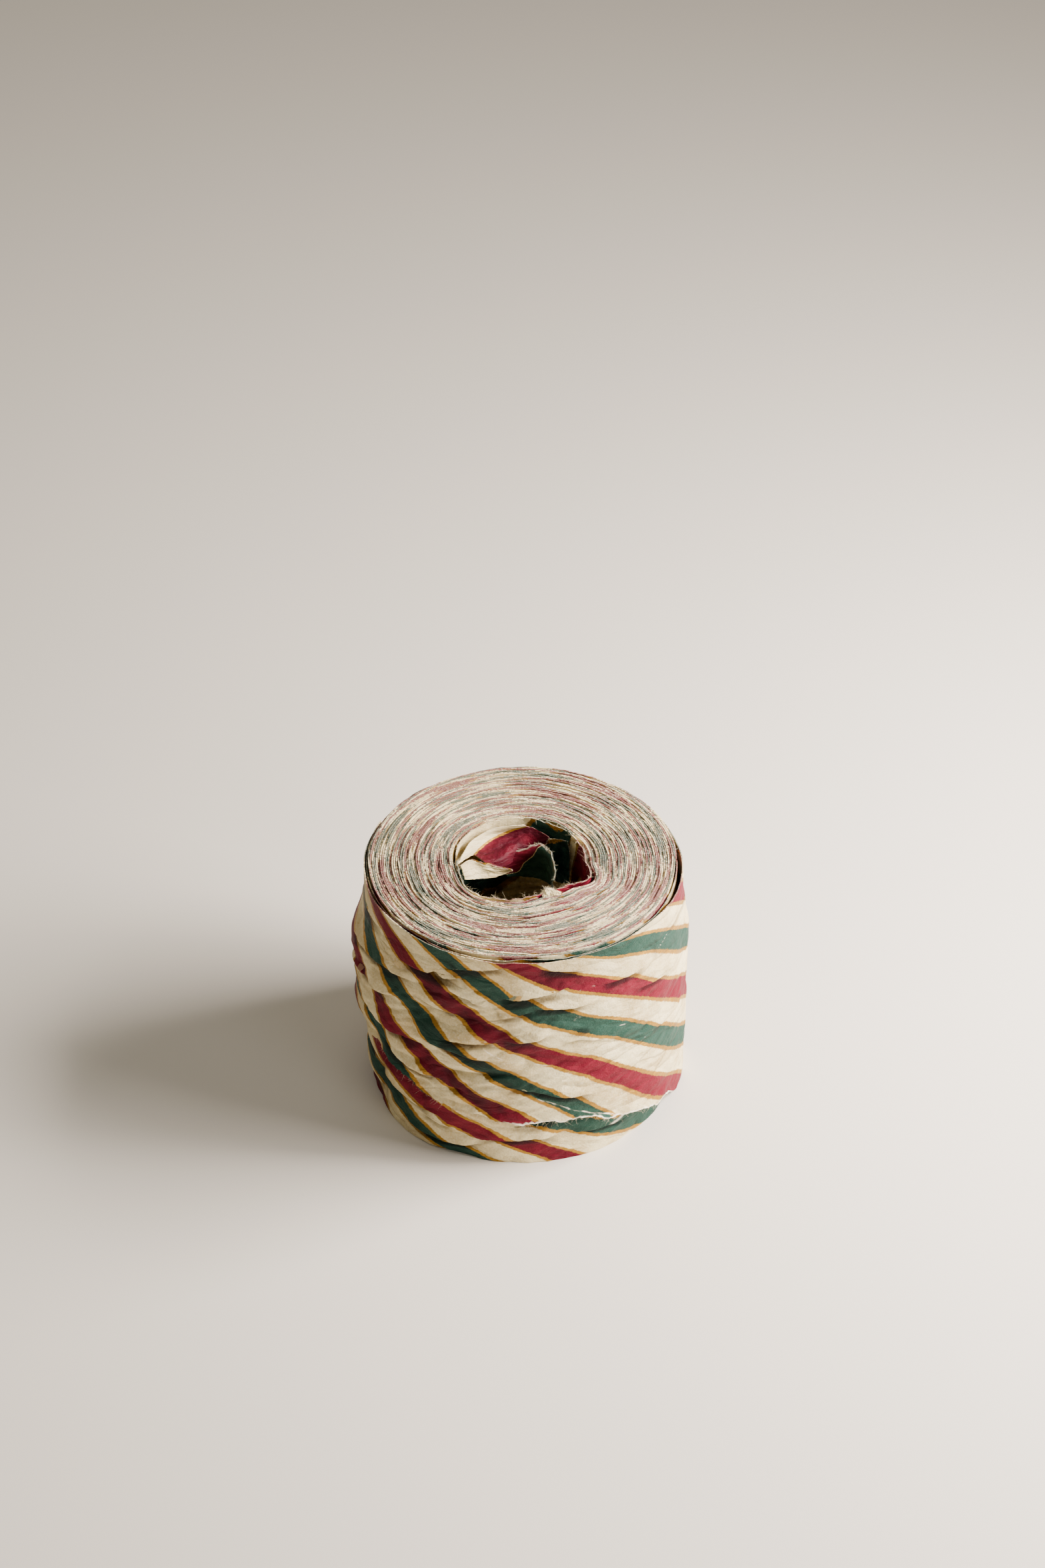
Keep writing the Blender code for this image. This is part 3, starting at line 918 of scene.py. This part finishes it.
def printed_paper():
    finish = Finish("striped_print")
    marks, paper = finish.uv("print"), finish.uv("paper")
    phase, wear_and_shade = finish.part_of(marks, 0), finish.part_of(marks, 1)
    # Where stains and painted shade darken the paper, the ink goes deep as well.
    ink_stain_and_shade = (wear_and_shade * -3.4).clamped() * 0.95
    colour, gold, ink = printed_colour(finish, phase, paper, ink_stain_and_shade=ink_stain_and_shade)
    colours = finish.colours
    rough_wear = (wear_and_shade * 1.6 - finish.grain(paper, 22.0, 3.0, 0.7) * 0.6).clamped()
    colour = finish.mix(rough_wear, colour, colours.fibre)
    # Stains, and painted shade, darken the paper towards the stain colour.
    stain_and_shade_share = ((wear_and_shade * -1.4) - finish.grain(paper, 16.0, 3.0, 0.6) * 0.3).clamped()
    colour = finish.mix(stain_and_shade_share, colour, colours.stain_and_shade, "MULTIPLY")
    # Painted shade in patches along the long creases.
    creased = (1 - from_crease(finish, paper, *LONG_CREASES) * 20).clamped()
    crease_shade = ((finish.grain(paper, 0.8, 2.0) - 0.42) * 4).clamped() * creased * 0.42
    colour = finish.mix(crease_shade, colour, colours.stain_and_shade, "MULTIPLY")
    bare = 1 - rough_wear
    shine = finish.grain(paper, 5.0, 2.0)
    roughness = 0.7 - ink * 0.16 - gold * 0.25 * bare + (shine - 0.5) * 0.2
    normal = paper_relief(finish, paper, 0.8)
    return finish.surface(colour, roughness, normal, gold * bare * 0.55)


def paper_back():
    """The unprinted side, with the print showing through faintly."""
    finish = Finish("paper_back")
    marks, paper = finish.uv("print"), finish.uv("paper")
    colour, _, _ = printed_colour(finish, finish.part_of(marks, 0), paper)
    colour = finish.mix(0.2, colour, finish.colours.cream)
    return finish.surface(colour, 0.85, paper_relief(finish, paper, 0.5))


def paper_core():
    """Cut and torn edges: white fibres with the print's colour between them, and painted shade in
    their gaps.
    """
    finish = Finish("paper_core")
    marks, paper = finish.uv("print"), finish.uv("paper")
    phase = finish.part_of(marks, 0)
    colour, _, _ = printed_colour(finish, phase, paper, bleed=1.9, broken=0.8)
    fuzz = ((finish.flecks(4200.0, 3.0, 0.7) - 0.5) * 9).clamped()
    colour = finish.mix(0.07, colour, finish.colours.fibre)
    colour = finish.mix(fuzz * (0.1 + finish.flecks(260.0) * 0.7), colour, finish.colours.fibre)
    # Painted shade in the gaps between the edge's fibres.
    fibre_gap_shade = ((finish.flecks(3400.0) - 0.5) * 8).clamped() * 0.7
    return finish.surface(finish.mix(fibre_gap_shade, colour, finish.colours.shadow), 0.9)


def fibre_finish():
    finish = Finish("loose_fibre")
    colour = finish.mix(finish.flecks(900.0), finish.colours.fibre, finish.colours.cream)
    return finish.surface(colour, 0.8, gloss=FIBRE_GLOSS)


def stage_finish():
    finish = Finish("pale_floor")
    cloudy = finish.flecks(6.0) * 0.06
    colour = finish.mix(cloudy, finish.colours.floor, finish.colours.floor_dark)
    return finish.surface(colour, 0.8, gloss=FLOOR_GLOSS)


FINISHES = {}


def paper_materials(hollow):
    """The slots of a sheet: printed side, back, and edge. In the hollow the print shows on both."""
    if not FINISHES:
        FINISHES.update(print=printed_paper(), back=paper_back(), core=paper_core())
        FINISHES["fibre"] = fibre_finish()
    back = FINISHES["print"] if hollow else FINISHES["back"]
    return [FINISHES["print"], back, FINISHES["core"]]


# ---- settings


def size(name, description, default):
    return bpy.props.FloatProperty(
        name=name, description=description, default=default, min=0, precision=5, unit="LENGTH"
    )


def tint(name, description, default):
    return bpy.props.FloatVectorProperty(
        name=name, description=description, subtype="COLOR", default=default, min=0, max=1
    )


class PaperRollSizes(bpy.types.PropertyGroup):
    half_period: size("Half period", "From a red band to the next green one", 0.0123)
    band_width: size("Band width", "Height of a coloured band", 0.005)
    outline_width: size("Outline width", "Height of a gold outline", 0.001)
    paper: size("Paper", "Thickness of the loose paper", 0.0002)
    wound_paper: size("Wound paper", "Thickness of the pressed paper", 0.00025)


class PaperRollColours(bpy.types.PropertyGroup):
    cream: tint("Cream", "The paper's ground", (0.85, 0.74, 0.445))
    cream_dark: tint("Cream, cloudy", "Darker clouds in the ground", (0.5, 0.36, 0.165))
    fibre: tint("Fibre", "Bare white fibres", (0.9, 0.83, 0.68))
    shadow: tint("Gaps", "Between the fibres of a cut edge", (0.3, 0.2, 0.13))
    crimson: tint("Crimson", "The red bands", (0.15, 0.005, 0.018))
    crimson_light: tint("Crimson, rubbed", "Where the red has worn", (0.24, 0.022, 0.042))
    # Also used as painted shade on the red.
    crimson_dark: tint("Crimson, deep", "Where the red lies thick", (0.066, 0.002, 0.01))
    green: tint("Green", "The green bands", (0.02, 0.062, 0.045))
    green_light: tint("Green, rubbed", "Where the green has worn", (0.055, 0.115, 0.088))
    # Also used as painted shade on the green.
    green_dark: tint("Green, deep", "Where the green lies thick", (0.007, 0.026, 0.019))
    gold: tint("Gold", "The outlines", (0.5, 0.27, 0.04))
    gold_dark: tint("Gold, dull", "Duller parts of the outlines", (0.27, 0.135, 0.018))
    # Used for real marks and for painted shade.
    stain_and_shade: tint("Stain", "A dark mark", (0.2, 0.165, 0.12))
    floor: tint("Floor", "The floor under the roll", (0.76, 0.72, 0.66))
    floor_dark: tint("Floor, cloudy", "Darker clouds in the floor", (0.6, 0.56, 0.5))


# ---- operators


# How far apart the grids' columns are, in degrees, and along the wound strip in millimetres.
TAIL_STEP, TURN_STEP, WOUND_STEP = 0.55, 0.7, 0.6
TAIL_ROWS = 176
BEND_REACH = 17.0  # degrees each side of each bend, for two points on the roll that the tail's operator works out
TAIL_LAP = 25  # how far the tail's paper goes past its root, in degrees
TURN_SPLIT = 258.0  # where the outer turn goes under the tail
TAIL_HAIRS, ROOT_HAIRS, WOUND_HAIRS = 150, 40, 420
LINING_HAIRS, TUFT_HAIRS, LIP_HAIRS = 450, 320, 90
FREE_TURNS = 1.5  # turns at the start of a wound length that have no hairs


class PAPERROLL_OT_tail(bpy.types.Operator):
    """Builds the loose tail over the front, one piece for each bend"""

    bl_idname = "paper_roll.tail"
    bl_label = "Tail"

    def execute(self, context):
        edges = [TAIL_ROOT + TAIL_LAP]
        edges += [(TAIL_BENDS[k] + TAIL_BENDS[k + 1]) / 2 for k in range(BEND_COUNT - 1)]
        edges.append(TAIL_END)
        for k in range(BEND_COUNT):
            start, end, bend = edges[k], edges[k + 1], TAIL_BENDS[k]
            piece = paper_mesh(
                f"tail_paper_{k + 1}", round((start - end) / TAIL_STEP), TAIL_ROWS,
                lambda u, v: shape_tail(u, v, start, end),
            )
            ends = [
                on_roll(bend + side, wrap_radius(np.array(bend + side)), CAD_TOP / 2)
                for side in (BEND_REACH, -BEND_REACH)
            ]
            hairs = fibre_mesh(
                f"tail_fibres_{k + 1}", lambda u, v: shape_tail(u, v, start, end),
                (0.02, 0.98, TAIL_HAIRS if k else ROOT_HAIRS), 0, 1.3, (300 + k, 400 + k),
            )
            for made in (piece, hairs):
                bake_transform(made)
            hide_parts(f"tail_segment_{k + 1}")
        return {"FINISHED"}


class PAPERROLL_OT_outer_turn(bpy.types.Operator):
    """Builds the last full turn: its open back, and the part under the tail"""

    bl_idname = "paper_roll.outer_turn"
    bl_label = "Outer turn"

    def execute(self, context):
        stretches = (
            ("outer_turn_back", TAIL_ROOT + TAIL_LAP, TURN_SPLIT, 0.5, 150),
            ("outer_turn_front", TURN_SPLIT, PACK_ENTRY, 0.4, 130),
        )
        for name, start, end, rows_low, rows in stretches:
            piece = paper_mesh(
                name, round((end - start) / TURN_STEP), rows,
                lambda u, v: shape_turn(u, v, start, end, rows_low),
            )
            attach(piece, "roll")
            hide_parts("outer_turn")
        return {"FINISHED"}


class PAPERROLL_OT_pack(bpy.types.Operator):
    """Builds the wound pack, one piece for each pasted length of the strip"""

    bl_idname = "paper_roll.pack"
    bl_label = "Wound pack"

    def execute(self, context):
        for number in range(1, LENGTH_COUNT + 1):
            start = (number - 1) * CUT_LENGTH
            end = min(start + CUT_LENGTH, WOUND_LENGTH)
            piece = paper_mesh(
                f"wound_length_{number}", round((end - start) / WOUND_STEP), len(WOUND_ROWS) - 1,
                lambda u, v: shape_wound(u, v, start, end), wound=True,
            )
            clear = FREE_TURNS * math.tau * wound_radius(start) / (end - start) if start else 0.002
            hairs = fibre_mesh(
                f"edge_fibres_{number}", lambda u, v: shape_wound(u, v, start, end),
                (clear, 0.998, WOUND_HAIRS), 1, 0.75, (500 + number, 600 + number),
            )
            for made in (piece, hairs):
                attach(made, "roll" if number == LENGTH_COUNT else f"length_{number}")
            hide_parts(f"strip_length_{number}")
        return {"FINISHED"}


class PAPERROLL_OT_hollow(bpy.types.Operator):
    """Builds the turn that lines the hollow, and the crumpled inner end"""

    bl_idname = "paper_roll.hollow"
    bl_label = "Hollow"

    def execute(self, context):
        lining = paper_mesh("innermost_paper", 420, 60, shape_innermost, hollow=True)
        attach(lining, "innermost")
        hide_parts("innermost_turn")
        spread = (0.01, 0.99, LINING_HAIRS)
        hairs = fibre_mesh("hollow_fibres", shape_innermost, spread, 1, 1.5, (700, 701))
        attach(hairs, "innermost")
        # Each sheet's name, net, torn edge, body, node, seed, columns and rows.
        sheets = (
            ("inner_leaf", LEAF_NET, None, "inner_end", "inner_end_leaf", 10, 70, 50),
            ("inner_leaf_fold", LEAF_FOLD_NET, None, "inner_end", "inner_end_leaf", 20, 60, 30),
            ("inner_lip", LIP_NET, 0, "inner_end", "inner_end_lip", 30, 110, 50),
            ("inner_wall_fold", WALL_FOLD_NET, None, "innermost", "innermost_turn", 40, 40, 50),
            ("inner_tuft", TUFT_NET, 0, "innermost", "innermost_turn", 50, 60, 40),
        )
        for name, net, torn, body, node, seed, columns, rows in sheets:
            def shape(u, v, net=net, torn=torn, seed=seed):
                return shape_net(net, torn, u, v, seed)

            piece = paper_mesh(name, columns, rows, shape, hollow=True)
            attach(piece, body)
            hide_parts(node)
            if torn is not None:
                count = TUFT_HAIRS if name == "inner_tuft" else LIP_HAIRS
                hairs = fibre_mesh(
                    f"{name}_fibres", shape, (0.02, 0.98, count), torn, 1.0, (seed + 800, seed + 900)
                )
                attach(hairs, body)
        return {"FINISHED"}


# The lights: a name, a place and an aim, a width and a height in metres, watts, and a colour.
LIGHTS = (
    ("near_key", (0.25, 0.02, 0.21), (0, 0, 0.02), 0.17, 0.12, 4.1, (1.0, 0.91, 0.83)),
    ("far_key", (0.58, -0.14, 0.31), (0, 0, 0.02), 0.24, 0.2, 5.4, (1.0, 0.91, 0.83)),
    ("low_fill", (0.58, -0.66, 0.22), (0, 0, 0.02), 0.3, 0.2, 1.7, (1.0, 0.92, 0.84)),
    ("top_fill", (-0.12, 0.05, 0.6), (-0.03, 0, 0), 0.4, 0.4, 0.6, (1.0, 0.95, 0.86)),
)
AMBIENT_COLOUR, AMBIENT_STRENGTH = (1.0, 0.9, 0.69, 1), 0.19
CAMERA_PLACE = (0, -0.5086, 0.4531)
CAMERA_DOWN = 37.17  # degrees below the horizon
FLOOR_HALF = 3.0


class PAPERROLL_OT_stage(bpy.types.Operator):
    """Sets the floor, the soft lights and the camera"""

    bl_idname = "paper_roll.stage"
    bl_label = "Stage"

    def execute(self, context):
        scene = context.scene
        floor = grid_mesh("floor", 1, 1, FLOOR_HALF)
        floor.materials.append(stage_finish())
        in_scene("floor", floor)
        for light in LIGHTS:
            area_light(*light)
        world = bpy.data.worlds.new("studio")
        scene.world = world
        world.use_nodes = True
        background = world.node_tree.nodes["Background"]
        background.inputs["Color"].default_value = AMBIENT_COLOUR
        background.inputs["Strength"].default_value = AMBIENT_STRENGTH
        camera = in_scene("camera", bpy.data.cameras.new("camera"))
        camera.data.lens = 80
        camera.data.sensor_width = 36
        camera.data.clip_start, camera.data.clip_end = 0.02, 20
        camera.location = CAMERA_PLACE
        camera.rotation_euler = (math.radians(90 - CAMERA_DOWN), 0, 0)
        scene.camera = camera
        return {"FINISHED"}


def area_light(name, place, aim, width, height, power, colour):
    data = bpy.data.lights.new(name, "AREA")
    data.shape = "RECTANGLE"
    data.size, data.size_y = width, height
    data.energy, data.color = power, colour
    light = in_scene(name, data)
    light.location = place
    light.rotation_euler = (Vector(aim) - Vector(place)).to_track_quat("-Z", "Y").to_euler()


class PAPERROLL_PT_panel(bpy.types.Panel):
    """Lists the roll's operators and settings"""

    bl_label = "Paper Roll"
    bl_space_type = "VIEW_3D"
    bl_region_type = "UI"
    bl_category = "Paper Roll"

    def draw(self, context):
        for operator in OPERATORS:
            self.layout.operator(operator.bl_idname)
        for group in (context.scene.paper_roll_sizes, context.scene.paper_roll_colours):
            for name in group.__annotations__:
                self.layout.prop(group, name)


OPERATORS = (
    PAPERROLL_OT_tail,
    PAPERROLL_OT_outer_turn,
    PAPERROLL_OT_pack,
    PAPERROLL_OT_hollow,
    PAPERROLL_OT_stage,
)
CLASSES = (PaperRollSizes, PaperRollColours, *OPERATORS, PAPERROLL_PT_panel)


def register():
    for cls in CLASSES:
        bpy.utils.register_class(cls)
    bpy.types.Scene.paper_roll_sizes = bpy.props.PointerProperty(type=PaperRollSizes)
    bpy.types.Scene.paper_roll_colours = bpy.props.PointerProperty(type=PaperRollColours)


def unregister():
    del bpy.types.Scene.paper_roll_sizes
    del bpy.types.Scene.paper_roll_colours
    for cls in reversed(CLASSES):
        bpy.utils.unregister_class(cls)


def main():
    register()
    bpy.ops.paper_roll.tail()
    bpy.ops.paper_roll.outer_turn()
    bpy.ops.paper_roll.pack()
    bpy.ops.paper_roll.hollow()
    bpy.ops.paper_roll.stage()


if __name__ == "__main__":
    main()
